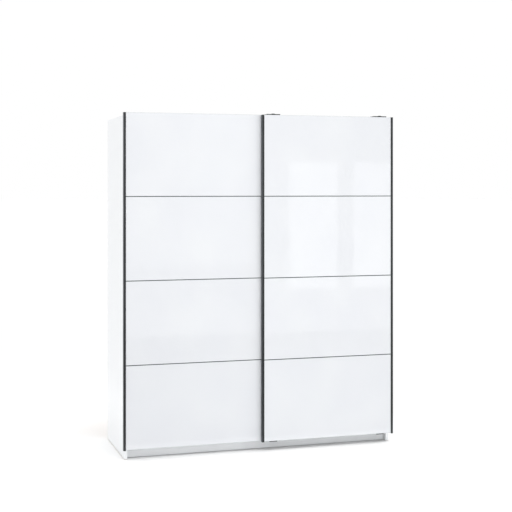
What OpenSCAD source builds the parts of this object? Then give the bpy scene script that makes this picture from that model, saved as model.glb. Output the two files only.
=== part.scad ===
// Two-door sliding wardrobe whose doors hang in front of the carcass on a double top track.
// +X runs to the right along the front, +Y to the back and +Z up, in millimetres.
// The origin is on the floor, in the middle of the footprint.
// The left door runs next to the carcass, and the right door runs in front of it.

/* [Overall size] */
// Width across both closed doors
wardrobe_w = 1800; // [1400:10:2600]
// Height of the door tops above the floor
door_top_z = 2157; // [1800:1:2600]
// Depth of the carcass without its doors
carcass_d = 616; // [480:1:760]

/* [Carcass boards] */
// Thickness of the sides, partition, shelves, top and bottom
board_t = 19; // [16:1:25]
// Thickness of the two plinth boards
plinth_t = 16; // [14:1:19]
// Height of the underside of the bottom panel above the floor
plinth_top_z = 80; // [76:1:140]
// Distance from the front edge of the carcass to the face of the front plinth
plinth_setback = 43; // [43:1:90]
// How far the sides stand below the door tops
side_drop = 14; // [8:1:24]
// Depth of the tray between the sides that hides the top track
track_recess = 30; // [30:1:60]
// Thickness of the back panels
back_t = 3; // [3:0.5:5]
// Distance from the back panels to the rear edges of the sides
back_inset = 10; // [6:1:20]
// Depth of the grooves that hold the back panels
groove_depth = 7; // [4:1:7]
// Clearance round the back panels in their grooves
groove_fit = 0.2; // [0.1:0.1:0.5]
// Height of the plastic floor glides
glide_h = 3; // [2:1:6]
// Diameter of the plastic floor glides
glide_dia = 13; // [8:1:14]

/* [Interior] */
// Free height above the hat shelves
hat_space = 310; // [240:10:420]
// How far the shelves stand back from the front edge
shelf_setback = 12; // [5:1:60]
// Gap at each end of a shelf
shelf_gap = 1; // [0.5:0.5:2]
// Diameter of the shelf pins
pin_dia = 5; // [4:0.5:6]
// Pitch of the rows of shelf holes
hole_pitch = 32; // [25:1:40]
// Height of the oval clothes rail
rail_h = 30; // [25:1:35]
// Width of the oval clothes rail
rail_w = 15; // [12:1:18]
// Wall of the clothes rail
rail_wall = 1.2; // [0.8:0.1:2]
// Drop from the hat shelf to the middle of the clothes rail
rail_drop = 60; // [45:5:90]

/* [Doors] */
// Overlap of the two closed doors
door_overlap = 20; // [16:1:40]
// How far each door stands past the side of the carcass
door_overhang = 10; // [2:1:16]
// Height of the lower edge of the glass above the floor
door_bottom_z = 64; // [62:1:72]
// Thickness of the backing board
door_board_t = 16; // [14:1:19]
// Thickness of the lacquered glass
glass_t = 4; // [3:0.5:5]
// Width of the trims between the glass fields
trim_w = 4; // [2:0.5:8]
// Gap between the left door and the carcass
carcass_gap = 5; // [4:0.5:8]
// Gap between the back of the right door and the glass of the left door
layer_gap = 6; // [6:0.5:12]
// Face width of the vertical handle profiles
handle_w = 15; // [12:1:30]
// How far the handle profiles stand in front of the glass
handle_proud = 3; // [2:0.5:3]
// Wall of the handle profiles beside the door
handle_wall = 2; // [1.5:0.5:3]
// How far the handle profiles run below the glass
handle_drop = 4; // [0:1:6]
// Length of each door that stays uncovered when it is fully open
grip_reveal = 40; // [20:5:80]

/* [Running gear] */
// Outer diameter of the door wheels
wheel_dia = 26; // [22:1:30]
// Width of the door wheels
wheel_w = 8; // [6:0.5:9]
// Depth of the groove round each wheel
wheel_groove = 3; // [2:0.5:4]
// Distance between the two wheels of a hanger
wheel_pitch = 56; // [38:1:64]
// Diameter of the axle pins
axle_dia = 6; // [4:0.5:8]
// Radial running clearance of the wheels on their pins
axle_fit = 0.05; // [0.02:0.01:0.1]
// Gap between a wheel and the rib that it runs on
wheel_gap = 0.3; // [0.2:0.1:0.5]
// Width of the sheet steel hangers
hanger_w = 90; // [80:1:110]
// Thickness of the sheet steel hangers
hanger_t = 3; // [2:0.5:4]
// Length of the hanger leg on the back of the door
hanger_leg = 105; // [70:5:160]
// Wall of the aluminium track and guide rail
track_wall = 2; // [1.5:0.5:2.5]
// Height of the running ribs above the track floor
rib_h = 6; // [5:0.5:9]
// Distance between the front and the rear run
run_pitch = 20; // [19:0.5:24]
// Depth of the guide rail under the bottom panel
guide_h = 14; // [12:1:18]
// Free width of each guide channel
guide_slot = 8; // [6:0.5:9]
// Length of the rubber end buffers
buffer_l = 8; // [6:1:16]

/* [Hidden] */
$fn = 48;
eps = 0.01;
LEFT = -1;
RIGHT = 1;
fit = 0.05;

board_white = "#F5F6F8";
glass_white = "#F4F6FA";
profile_dark = "#4A4E50";
steel_black = "#26282A";
alu = "#B8BABC";
zinc = "#A9ABAD";
plastic_white = "#E9EAEA";
plastic_black = "#202122";

// Carcass
body_w = wardrobe_w - 2 * door_overhang;
inner_x = body_w / 2 - board_t;
door_t = door_board_t + glass_t;
front_stack = carcass_gap + 2 * door_t + layer_gap + handle_proud;
front_y = (front_stack - carcass_d) / 2;
rear_y = front_y + carcass_d;
side_top_z = door_top_z - side_drop;
top_z = side_top_z - track_recess;
ceiling_z = top_z - board_t;
floor_z = plinth_top_z + board_t;
panel_d = carcass_d - back_inset - back_t - groove_fit;
bay_w = inner_x - board_t / 2;
glide_inset = 60;
nail_r = 1;
nail_l = 12;

// Shelves and their pins. The right bay has shelf_count shelves below its hat shelf.
shelf_count = 3;
shelf_d = panel_d - shelf_setback - 1;
hat_z = ceiling_z - hat_space - board_t;
shelf_step = (hat_z - floor_z + board_t) / (shelf_count + 1);
pin_row = 37;
pin_in = 8;
pin_out = 8;
spare_holes = 1;
rail_z = hat_z - rail_drop;
rail_y = front_y + panel_d / 2;
socket_t = 3;
socket_l = 12;
socket_rim = 3;
rail_fit = 0.3;

// Cam fittings
cam_r = 7.5;
cam_h = board_t / 2 + 3;
cam_in = 24;
bolt_r = 3;
bolt_in = 10;
cam_edge = 60;

// Screws
screw_r = 1.75;
screw_l = 14;
head_r = 3.8;
head_h = 2;
track_screws = 5;

// Track
track_y = front_y + 3;
track_lip = 10;
rib_w = 2.4;
rib_top_z = top_z + track_wall + rib_h;
web_offset = wheel_w / 2 + 2 + hanger_t;
front_run_y = track_y + track_wall + 1 + web_offset;
track_w = front_run_y + run_pitch + web_offset + 2 - track_y;
track_l = 2 * inner_x - 1;
tread_r = wheel_dia / 2 - wheel_groove;
axle_z = rib_top_z + wheel_gap + tread_r;

// Doors, each with its number of glass fields
fields = 4;
door_w = (wardrobe_w + door_overlap) / 2;
door_h = door_top_z - door_bottom_z;
field_h = (door_h - (fields - 1) * trim_w) / fields;
tongue_w = 1.6;
tongue_l = 8;
trim_tongue = 1.2;
trim_in = 5;
leg_pocket = 2.5;
leg_fit = 0.2;
travel = door_w - door_overlap - grip_reveal;

// Hangers: the front door's arm passes over the rear door
inner_arm_z = axle_z + wheel_dia / 2 + 2;
outer_arm_z = max(door_top_z, inner_arm_z + hanger_t) + 3.5;
boss_r = 11;
boss_h = 3;
buffer_gap = 1;
hanger_inset = hanger_w / 2 + buffer_l + 2 * buffer_gap + door_overhang + board_t;
web_drop = 9;
leg_bottom_z = door_top_z - hanger_leg;

// Bottom guides
guide_z = plinth_top_z - guide_h;
guide_clear = 2;
guide_arm_w = 50;
guide_leg = 66;
front_slot_y = front_y + 5 + guide_slot / 2;
slot_pitch = guide_slot + 2 * (track_wall + head_r) + 1;
handle_bottom_z = door_bottom_z - handle_drop;
inner_guide_z = guide_z - guide_clear - hanger_t;
outer_guide_z = min(handle_bottom_z, inner_guide_z) - guide_clear - hanger_t;

// Wall brackets
bracket_x = body_w / 3;
bracket_w = 40;
bracket_l = 45;
bracket_t = 2.5;
bracket_hole_r = 2.75;
bracket_hole_z = top_z + 20;

// Places of one door. side is LEFT or RIGHT, end is LEFT or RIGHT within the door.
function door_x(side) = side == LEFT ? -wardrobe_w / 2 : wardrobe_w / 2 - door_w;
function door_back_y(side) =
    front_y - carcass_gap - (side == LEFT ? 0 : door_t + layer_gap);
function run_y(side) = front_run_y + (side == LEFT ? 0 : run_pitch);
function arm_z(side) = side == LEFT ? inner_arm_z : outer_arm_z;
function guide_arm_z(side) = side == LEFT ? inner_guide_z : outer_guide_z;
function slot_y(side) = front_slot_y + (side == LEFT ? 0 : slot_pitch);
function hanger_x(side, end) =
    door_x(side) + door_w / 2 + end * (door_w / 2 - hanger_inset);
function field_z(i) = door_bottom_z + i * (field_h + trim_w);
function shelf_z(i) = floor_z + i * shelf_step - board_t;
function wheel_x(side, i) =
    hanger_x(side, i < 2 ? LEFT : RIGHT) + (i % 2 == 0 ? -1 : 1) * wheel_pitch / 2;
function spread(count, length) = [for (i = [0:count - 1]) (i / (count - 1) - 0.5) * length];

// ---------- shared shapes ----------

// Box given by its low corner and its size
module box(low, size) {
    translate(low) cube(size);
}

// Extrudes a section drawn in Y and Z along X, centred on x
module along_x(x, length) {
    translate([x, 0, 0])
        rotate([90, 0, 90])
            linear_extrude(height = length, center = true)
                children();
}

module rect(low, size) {
    translate(low) square(size);
}

// Cylinder along X, Y or Z that starts at a point
module rod_x(at, r, l) {
    translate(at) rotate([0, 90, 0]) cylinder(r = r, h = l);
}

module rod_y(at, r, l) {
    translate(at) rotate([-90, 0, 0]) cylinder(r = r, h = l);
}

module rod_z(at, r, l) {
    translate(at) cylinder(r = r, h = l);
}

// Pan head screw that points along +Z, with the underside of its head at z = 0
module screw() {
    rod_z([0, 0, 0], screw_r, screw_l);
    rod_z([0, 0, -head_h], head_r, head_h);
}

module screw_hole(length = screw_l + 1) {
    rod_z([0, 0, -eps], screw_r + fit, length + eps);
}

// ---------- cam fittings ----------

// One cam and its bolt: the cam sits in the face at z = 0 and the bolt points along +X
module cam_pair(extra) {
    rod_z([0, 0, -(extra > 0 ? eps : 0)], cam_r + extra, cam_h + extra);
    rod_x([cam_r, 0, board_t / 2], bolt_r + extra, cam_in - cam_r + bolt_in + extra);
}

// Places the children at every cam of the carcass
module at_cams() {
    for (y = [front_y + cam_edge, front_y + panel_d / 2, front_y + panel_d - cam_edge]) {
        for (end = [LEFT, RIGHT]) {
            for (z = [ceiling_z, plinth_top_z])
                translate([end * (inner_x - cam_in), y, z])
                    rotate([0, 0, end == RIGHT ? 0 : 180])
                        children();
        }
        translate([-board_t / 2, y, ceiling_z - cam_in]) rotate([0, -90, 180]) children();
        translate([-board_t / 2, y, floor_z + cam_in]) rotate([0, 90, 0]) children();
    }
}

module cam_fittings() {
    color(zinc) at_cams() cam_pair(0);
}

// ---------- carcass ----------

module shelf_pin(x, y, z, toward, extra) {
    start = toward == RIGHT ? x - pin_in - extra : x + pin_in + extra;
    length = pin_in + (extra > 0 ? 2 * extra : pin_out);
    rod_x([toward == RIGHT ? start : start - length, y, z], pin_dia / 2 + extra, length);
}

// Pins of one shelf whose underside is at z, in a bay between x_low and x_high
module shelf_pin_set(x_low, x_high, z, extra = 0) {
    for (y = [front_y + shelf_setback + pin_row, front_y + panel_d - pin_row]) {
        shelf_pin(x_low, y, z - pin_dia / 2, RIGHT, extra);
        shelf_pin(x_high, y, z - pin_dia / 2, LEFT, extra);
    }
}

module all_pins(extra, spares) {
    shelf_pin_set(-inner_x, -board_t / 2, hat_z, extra);
    shelf_pin_set(board_t / 2, inner_x, hat_z, extra);
    for (i = [1:shelf_count], row = [-spares:spares])
        shelf_pin_set(board_t / 2, inner_x, shelf_z(i) + row * hole_pitch, extra);
}

module back_groove(x, width) {
    box([x, rear_y - back_inset - back_t - groove_fit, plinth_top_z - 1],
        [width, back_t + 2 * groove_fit, top_z - plinth_top_z + 2]);
}

module side_panel(side) {
    x_low = side == LEFT ? -body_w / 2 : inner_x;
    groove_x = side == LEFT ? -inner_x - groove_depth : inner_x - eps;
    color(board_white) difference() {
        box([x_low, front_y, glide_h], [board_t, carcass_d, side_top_z - glide_h]);
        back_groove(groove_x, groove_depth + eps);
        at_cams() cam_pair(fit);
        all_pins(fit, spare_holes);
        at_glides() glide_nail(fit);
    }
}

module centre_partition() {
    color(board_white) difference() {
        box([-board_t / 2, front_y, floor_z], [board_t, panel_d + back_inset, ceiling_z - floor_z]);
        box([-board_t / 2 - eps, rear_y - back_inset - back_t - groove_fit, floor_z - 1],
            [groove_depth + eps, back_t + 2 * groove_fit, ceiling_z - floor_z + 2]);
        box([board_t / 2 - groove_depth, rear_y - back_inset - back_t - groove_fit, floor_z - 1],
            [groove_depth + eps, back_t + 2 * groove_fit, ceiling_z - floor_z + 2]);
        at_cams() cam_pair(fit);
        all_pins(fit, spare_holes);
    }
}

module top_panel() {
    color(board_white) difference() {
        box([-inner_x, front_y, ceiling_z], [2 * inner_x, panel_d, board_t]);
        at_cams() cam_pair(fit);
        at_track_screws() screw_hole();
        at_bracket_screws() screw_hole();
    }
}

module bottom_panel() {
    color(board_white) difference() {
        box([-inner_x, front_y, plinth_top_z], [2 * inner_x, panel_d, board_t]);
        at_cams() cam_pair(fit);
        at_guide_screws() screw_hole();
    }
}

module plinth(y) {
    color(board_white) difference() {
        box([-inner_x, y, glide_h], [2 * inner_x, plinth_t, plinth_top_z - glide_h]);
        at_glides() glide_nail(fit);
    }
}

module front_plinth() {
    plinth(front_y + plinth_setback);
}

module rear_plinth() {
    plinth(front_y + panel_d - plinth_t - 2);
}

// Half of the back, from the side panel to the partition
module back_panel(side) {
    low = board_t / 2 - groove_depth + groove_fit;
    high = inner_x + groove_depth - groove_fit;
    color(board_white)
        box([side == LEFT ? -high : low, rear_y - back_inset - back_t, plinth_top_z],
            [high - low, back_t, top_z - plinth_top_z]);
}

module at_glides() {
    plinth_ys = [front_y + plinth_setback + plinth_t / 2, front_y + panel_d - plinth_t / 2 - 2];
    for (end = [LEFT, RIGHT], y = [front_y + glide_inset, rear_y - glide_inset])
        translate([end * (body_w - board_t) / 2, y, 0]) children();
    for (y = plinth_ys, x = [-inner_x + glide_inset, 0, inner_x - glide_inset])
        translate([x, y, 0]) children();
}

module glide_nail(extra) {
    rod_z([0, 0, glide_h - eps], nail_r + extra, nail_l + extra);
}

module floor_glides() {
    color(plastic_white) at_glides() {
        rod_z([0, 0, 0], glide_dia / 2, glide_h);
        glide_nail(0);
    }
}

module shelf(x_low, z) {
    color(board_white)
        box([x_low + shelf_gap, front_y + shelf_setback, z],
            [bay_w - 2 * shelf_gap, shelf_d, board_t]);
}

module shelf_pins() {
    color(zinc) all_pins(0, 0);
}

// Upright oval in X and Y with flat sides, used as the section of the clothes rail
module oval(width, height) {
    square([width, height - width], center = true);
    for (end = [-1, 1])
        translate([0, end * (height - width) / 2]) circle(d = width);
}

module clothes_rail() {
    length = bay_w - 2 * socket_t - 1;
    color(alu)
        along_x(-inner_x + bay_w / 2, length)
            translate([rail_y, rail_z]) difference() {
                oval(rail_w, rail_h);
                oval(rail_w - 2 * rail_wall, rail_h - 2 * rail_wall);
            }
}

// Cup that holds one end of the clothes rail, open at the top
module rail_socket(x, end) {
    rim_w = rail_w + 2 * rail_fit + 2 * socket_rim;
    rim_h = rail_h + 2 * rail_fit + 2 * socket_rim;
    along_x(x - end * socket_t / 2, socket_t)
        translate([rail_y, rail_z]) oval(rim_w, rim_h);
    along_x(x - end * (socket_t + socket_l / 2 - eps), socket_l)
        translate([rail_y, rail_z]) difference() {
            oval(rim_w, rim_h);
            oval(rail_w + 2 * rail_fit, rail_h + 2 * rail_fit);
            rect([-rim_w, rail_h / 4], [2 * rim_w, rim_h]);
        }
}

module rail_sockets() {
    color(zinc) {
        rail_socket(-inner_x, LEFT);
        rail_socket(-board_t / 2, RIGHT);
    }
}

// ---------- track and guide rail ----------

module at_track_screws() {
    for (x = spread(track_screws, track_l - 120))
        translate([x, front_run_y + run_pitch / 2, top_z]) rotate([180, 0, 0]) children();
}

module at_guide_screws() {
    for (x = spread(track_screws, track_l - 120))
        translate([x, front_slot_y + slot_pitch / 2, plinth_top_z]) children();
}

module at_bracket_screws() {
    for (end = [LEFT, RIGHT], dx = [-bracket_w / 4, bracket_w / 4])
        translate([end * bracket_x + dx, front_y + panel_d - bracket_l / 2, top_z])
            rotate([180, 0, 0]) children();
}

module top_track() {
    color(alu) difference() {
        along_x(0, track_l) translate([track_y, top_z]) {
            square([track_w, track_wall]);
            for (y = [0, track_w - track_wall])
                rect([y, 0], [track_wall, track_lip]);
            for (run = [LEFT, RIGHT]) {
                rib_y = run_y(run) - track_y;
                rect([rib_y - rib_w / 2, 0], [rib_w, track_wall + rib_h - rib_w / 2]);
                translate([rib_y, track_wall + rib_h - rib_w / 2]) circle(d = rib_w);
            }
        }
        at_track_screws() translate([0, 0, -track_wall - 1]) rod_z([0, 0, 0], screw_r + fit, 2 * screw_l);
    }
}

module bottom_guide_rail() {
    wall_y = [
        front_slot_y - guide_slot / 2 - track_wall,
        front_slot_y + guide_slot / 2,
        front_slot_y + slot_pitch - guide_slot / 2 - track_wall,
        front_slot_y + slot_pitch + guide_slot / 2
    ];
    color(alu) difference() {
        along_x(0, track_l) {
            rect([wall_y[0], plinth_top_z - track_wall], [wall_y[3] - wall_y[0] + track_wall, track_wall]);
            for (y = wall_y)
                rect([y, guide_z], [track_wall, guide_h]);
        }
        at_guide_screws() translate([0, 0, -track_wall - 1]) rod_z([0, 0, 0], screw_r + fit, 2 * screw_l);
    }
}

module rail_screws() {
    color(zinc) {
        at_track_screws() translate([0, 0, -track_wall]) screw();
        at_guide_screws() translate([0, 0, -track_wall]) screw();
        at_bracket_screws() translate([0, 0, -bracket_t]) screw();
    }
}

// Stop that clips over a rib and meets the edge of a hanger
module end_buffer(x, y) {
    height = wheel_dia;
    color(plastic_black) difference() {
        box([x - buffer_l / 2, y - web_offset, top_z + track_wall],
            [buffer_l, web_offset + wheel_w / 2, height]);
        box([x - buffer_l, y - rib_w / 2 - fit, top_z], [2 * buffer_l, rib_w + 2 * fit, track_wall + rib_h + fit]);
    }
}

module end_buffers() {
    reach = inner_x - buffer_gap - buffer_l / 2;
    for (end = [LEFT, RIGHT]) {
        end_buffer(end * reach, run_y(end));
        end_buffer(-end * (reach - grip_reveal), run_y(end));
    }
}

// Angle brackets that hold the wardrobe to a wall
module wall_brackets() {
    color(zinc) for (end = [LEFT, RIGHT]) difference() {
        union() {
            box([end * bracket_x - bracket_w / 2, front_y + panel_d - bracket_l, top_z],
                [bracket_w, rear_y - front_y - panel_d + bracket_l, bracket_t]);
            box([end * bracket_x - bracket_w / 2, rear_y - bracket_t, top_z],
                [bracket_w, bracket_t, side_top_z - top_z]);
        }
        rod_y([end * bracket_x, rear_y - 2 * bracket_t, bracket_hole_z], bracket_hole_r, 3 * bracket_t);
        at_bracket_screws() translate([0, 0, -bracket_t - 1]) rod_z([0, 0, 0], screw_r + fit, screw_l);
    }
}

// ---------- doors ----------

// Places the children at the screws of a door: two in each hanger leg, two in each guide leg
module at_door_screws(side) {
    y = door_back_y(side) + hanger_t - leg_pocket;
    for (end = [LEFT, RIGHT]) {
        x = hanger_x(side, end);
        for (dx = [-hanger_w / 4, hanger_w / 4], z = [leg_bottom_z + 15, leg_bottom_z + 50])
            translate([x + dx, y, z]) rotate([90, 0, 0]) children();
        for (dx = [-guide_arm_w / 4, guide_arm_w / 4])
            translate([x + dx, y, door_bottom_z + guide_leg - 20]) rotate([90, 0, 0]) children();
    }
}

// Countersunk screw that points along +Z from the plate face at z = 0
module door_screw(extra) {
    cylinder(r1 = head_r + extra, r2 = screw_r + extra, h = head_h);
    rod_z([0, 0, 0], screw_r + extra, door_board_t - leg_pocket);
}

module door_screws(side) {
    color(zinc) at_door_screws(side) door_screw(0);
}

module door_board(side) {
    x = door_x(side);
    y = door_back_y(side);
    width = door_w - 2 * handle_wall;
    color(board_white) difference() {
        box([x + handle_wall, y - door_board_t, door_bottom_z], [width, door_board_t, door_h]);
        for (end = [LEFT, RIGHT]) {
            pocket_x = hanger_x(side, end);
            box([pocket_x - hanger_w / 2 - leg_fit, y - leg_pocket, leg_bottom_z - leg_fit],
                [hanger_w + 2 * leg_fit, leg_pocket + 1, hanger_leg + 1]);
            box([pocket_x - guide_arm_w / 2 - leg_fit, y - leg_pocket, door_bottom_z - 1],
                [guide_arm_w + 2 * leg_fit, leg_pocket + 1, guide_leg + leg_fit + 1]);
            tongue_x = end == LEFT ? x + handle_wall - 1 : x + door_w - handle_wall - tongue_l - leg_fit;
            box([tongue_x, y - (door_board_t + tongue_w) / 2 - fit, door_bottom_z - 1],
                [tongue_l + leg_fit + 1, tongue_w + 2 * fit, door_h + 2]);
        }
        for (i = [1:fields - 1])
            box([x, y - door_board_t - 1, field_z(i) - (trim_w + trim_tongue) / 2 - fit],
                [door_w, trim_in + leg_fit + 1, trim_tongue + 2 * fit]);
        at_door_screws(side) door_screw(fit);
    }
}

module door_glass(side, i) {
    color(glass_white)
        box([door_x(side) + handle_wall, door_back_y(side) - door_t, field_z(i)],
            [door_w - 2 * handle_wall, glass_t, field_h]);
}

// Trims with a tongue let into the board, kept clear of the handle tongues
module door_trims(side) {
    y = door_back_y(side) - door_board_t;
    margin = handle_wall + tongue_l + 1;
    color(profile_dark)
        for (i = [1:fields - 1]) {
            box([door_x(side) + handle_wall, y - glass_t, field_z(i) - trim_w],
                [door_w - 2 * handle_wall, glass_t, trim_w]);
            box([door_x(side) + margin, y - eps, field_z(i) - (trim_w + trim_tongue) / 2],
                [door_w - 2 * margin, trim_in + eps, trim_tongue]);
        }
}

// Section of a handle profile in X and Y for a left door edge, with a finger groove near its inner edge
module handle_section() {
    groove_r = 14;
    groove_in = handle_proud / 4;
    groove_x = handle_w - 5.7;
    difference() {
        translate([0, -door_t - handle_proud]) square([handle_w, handle_proud]);
        translate([groove_x, -door_t - handle_proud - groove_r + groove_in]) circle(r = groove_r);
    }
    translate([0, -door_t - eps]) square([handle_wall, door_t + eps]);
    translate([handle_wall - eps, -(door_board_t + tongue_w) / 2]) square([tongue_l + eps, tongue_w]);
}

module door_handle(side, end) {
    edge_x = end == LEFT ? door_x(side) : door_x(side) + door_w;
    color(profile_dark)
        translate([edge_x, door_back_y(side), handle_bottom_z])
            mirror([end == LEFT ? 0 : 1, 0, 0])
                linear_extrude(height = door_h + handle_drop)
                    handle_section();
}

// Bent steel hanger: a leg let into the back of the door, an arm and a web that carries two wheels
module door_hanger(side, end) {
    x = hanger_x(side, end);
    leg_y = door_back_y(side) - leg_pocket;
    web_y = run_y(side) - web_offset;
    arm = arm_z(side);
    color(steel_black) difference() {
        union() {
            along_x(x, hanger_w) {
                rect([leg_y, leg_bottom_z], [hanger_t, arm + hanger_t - leg_bottom_z]);
                rect([leg_y, arm], [web_y + hanger_t - leg_y, hanger_t]);
                rect([web_y, axle_z - web_drop], [hanger_t, arm + hanger_t - axle_z + web_drop]);
            }
            if (side == RIGHT)
                rod_z([x, leg_y + boss_r, arm + hanger_t - eps], boss_r, boss_h);
        }
        for (dx = [-wheel_pitch / 2, wheel_pitch / 2])
            rod_y([x + dx, web_y - 1, axle_z], axle_dia / 2 + fit, hanger_t + 2);
        at_door_screws(side) door_screw(fit);
    }
}

// Riveted pins that carry the wheels: a head, a shoulder and a collar on one shaft
module axle_pins(side) {
    web_y = run_y(side) - web_offset;
    back_y = run_y(side) + wheel_w / 2;
    color(zinc) for (i = [0:3]) {
        x = wheel_x(side, i);
        rod_y([x, web_y - 1.5, axle_z], axle_dia / 2, back_y - web_y + 3);
        rod_y([x, web_y - 1.5, axle_z], axle_dia / 2 + 2, 1.5);
        rod_y([x, web_y + hanger_t, axle_z], axle_dia / 2 + 1.5, 1.6);
        rod_y([x, back_y + 0.4, axle_z], axle_dia / 2 + 1.8, 1.1);
    }
}

// Grooved plastic wheel with a hub and a dished web on each face
module door_wheel(side, i) {
    r = wheel_dia / 2;
    half = wheel_w / 2;
    groove_half = rib_w / 2 + 0.5;
    dish = wheel_w / 5;
    hub_r = axle_dia / 2 + 2;
    bore_r = axle_dia / 2 + axle_fit;
    rim_r = tread_r - 1.8;
    color(plastic_black)
        translate([wheel_x(side, i), run_y(side), axle_z])
            rotate([90, 0, 0])
                rotate_extrude($fn = 96)
                    polygon([
                        [bore_r, -half], [hub_r, -half], [hub_r, dish - half], [rim_r, dish - half],
                        [rim_r, -half], [r, -half], [r, -groove_half - 0.8], [tread_r, -groove_half],
                        [tread_r, groove_half], [r, groove_half + 0.8], [r, half], [rim_r, half],
                        [rim_r, half - dish], [hub_r, half - dish], [hub_r, half], [bore_r, half]
                    ]);
}

// Steel angle that reaches under the bottom panel, with a hole for its shoe
module guide_arms(side) {
    leg_y = door_back_y(side) - leg_pocket;
    arm = guide_arm_z(side);
    color(steel_black) difference() {
        for (end = [LEFT, RIGHT])
            along_x(hanger_x(side, end), guide_arm_w) {
                rect([leg_y, arm], [hanger_t, door_bottom_z + guide_leg - arm]);
                rect([leg_y, arm], [slot_y(side) + 6 - leg_y, hanger_t]);
            }
        for (end = [LEFT, RIGHT])
            rod_z([hanger_x(side, end), slot_y(side), arm - 1], 2.5 + fit, hanger_t + 2);
        at_door_screws(side) door_screw(fit);
    }
}

// Plastic shoes that slide in the guide channels
module guide_shoes(side) {
    arm = guide_arm_z(side);
    shoe_w = guide_slot - 1;
    color(plastic_black) for (end = [LEFT, RIGHT]) {
        x = hanger_x(side, end);
        rod_z([x, slot_y(side), arm], 2.5, plinth_top_z - track_wall - 2 - arm);
        box([x - 15, slot_y(side) - shoe_w / 2, guide_z + 1],
            [30, shoe_w, guide_h - track_wall - 3]);
    }
}

// ---------- nodes ----------

module left_side_panel() { side_panel(LEFT); }
module right_side_panel() { side_panel(RIGHT); }
module left_back_panel() { back_panel(LEFT); }
module right_back_panel() { back_panel(RIGHT); }
module left_hat_shelf() { shelf(-inner_x, hat_z); }
module right_hat_shelf() { shelf(board_t / 2, hat_z); }
module right_shelf(i) { shelf(board_t / 2, shelf_z(i)); }

left_side_panel();
right_side_panel();
centre_partition();
top_panel();
bottom_panel();
front_plinth();
rear_plinth();
left_back_panel();
right_back_panel();
floor_glides();
cam_fittings();
left_hat_shelf();
right_hat_shelf();
right_shelf(1);  // right_shelf_1
right_shelf(2);  // right_shelf_2
right_shelf(3);  // right_shelf_3
shelf_pins();
clothes_rail();
rail_sockets();
top_track();
bottom_guide_rail();
rail_screws();
end_buffers();
wall_brackets();
door_board(LEFT);  // left_door_board
door_glass(LEFT, 0);  // left_door_glass_1
door_glass(LEFT, 1);  // left_door_glass_2
door_glass(LEFT, 2);  // left_door_glass_3
door_glass(LEFT, 3);  // left_door_glass_4
door_trims(LEFT);  // left_door_trims
door_handle(LEFT, LEFT);  // left_door_left_handle
door_handle(LEFT, RIGHT);  // left_door_right_handle
door_hanger(LEFT, LEFT);  // left_door_left_hanger
door_hanger(LEFT, RIGHT);  // left_door_right_hanger
axle_pins(LEFT);  // left_door_axle_pins
door_wheel(LEFT, 0);  // left_door_wheel_1
door_wheel(LEFT, 1);  // left_door_wheel_2
door_wheel(LEFT, 2);  // left_door_wheel_3
door_wheel(LEFT, 3);  // left_door_wheel_4
guide_arms(LEFT);  // left_door_guide_arms
guide_shoes(LEFT);  // left_door_guide_shoes
door_screws(LEFT);  // left_door_screws
door_board(RIGHT);  // right_door_board
door_glass(RIGHT, 0);  // right_door_glass_1
door_glass(RIGHT, 1);  // right_door_glass_2
door_glass(RIGHT, 2);  // right_door_glass_3
door_glass(RIGHT, 3);  // right_door_glass_4
door_trims(RIGHT);  // right_door_trims
door_handle(RIGHT, LEFT);  // right_door_left_handle
door_handle(RIGHT, RIGHT);  // right_door_right_handle
door_hanger(RIGHT, LEFT);  // right_door_left_hanger
door_hanger(RIGHT, RIGHT);  // right_door_right_hanger
axle_pins(RIGHT);  // right_door_axle_pins
door_wheel(RIGHT, 0);  // right_door_wheel_1
door_wheel(RIGHT, 1);  // right_door_wheel_2
door_wheel(RIGHT, 2);  // right_door_wheel_3
door_wheel(RIGHT, 3);  // right_door_wheel_4
guide_arms(RIGHT);  // right_door_guide_arms
guide_shoes(RIGHT);  // right_door_guide_shoes
door_screws(RIGHT);  // right_door_screws
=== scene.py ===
"""Looks of a two-door sliding wardrobe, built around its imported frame.

+X runs to the right along the front, +Y to the back and +Z up, in metres. Every piece takes its place from
the frame's own boxes. Each sub-assembly is a class, each finish is a frozen dataclass, and main() builds
them in order.
"""

from __future__ import annotations

import logging
import math
from collections.abc import Callable, Iterator, Sequence
from contextlib import contextmanager
from dataclasses import dataclass, field
from enum import Enum

import bmesh  # noqa: E402
import bpy  # noqa: E402
from mathutils import Matrix, Vector  # noqa: E402

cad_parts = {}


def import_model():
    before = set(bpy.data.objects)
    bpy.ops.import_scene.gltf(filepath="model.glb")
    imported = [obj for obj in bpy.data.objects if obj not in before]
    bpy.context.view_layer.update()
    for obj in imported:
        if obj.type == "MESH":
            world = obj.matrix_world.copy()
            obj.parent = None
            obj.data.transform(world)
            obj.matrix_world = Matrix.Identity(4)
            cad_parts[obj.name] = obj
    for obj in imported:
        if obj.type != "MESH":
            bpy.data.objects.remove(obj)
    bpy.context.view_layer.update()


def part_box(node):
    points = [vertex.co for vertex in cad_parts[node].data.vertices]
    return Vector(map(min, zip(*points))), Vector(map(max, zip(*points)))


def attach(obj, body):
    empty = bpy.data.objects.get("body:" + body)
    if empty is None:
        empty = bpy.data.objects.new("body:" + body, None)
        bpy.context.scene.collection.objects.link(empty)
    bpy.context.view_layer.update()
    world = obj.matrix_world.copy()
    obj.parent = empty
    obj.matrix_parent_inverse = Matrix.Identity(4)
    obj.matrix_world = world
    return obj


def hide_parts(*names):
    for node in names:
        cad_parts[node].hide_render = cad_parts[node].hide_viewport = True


MM = 0.001
# Furthest that a point may lie from a plane and still count as on it.
ON_PLANE = 0.05 * MM
# Points closer than this are one point.
MERGE = 0.01 * MM
# Least part of a face's normal along an axis for the face to look that way, and to be square to it.
FACING = 0.9
SQUARE = 0.99
# Faces that turn less than the first are made one, and edges that turn more than the second are rounded.
FLAT_DEG = 0.5
SHARP_DEG = 40.0
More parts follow.
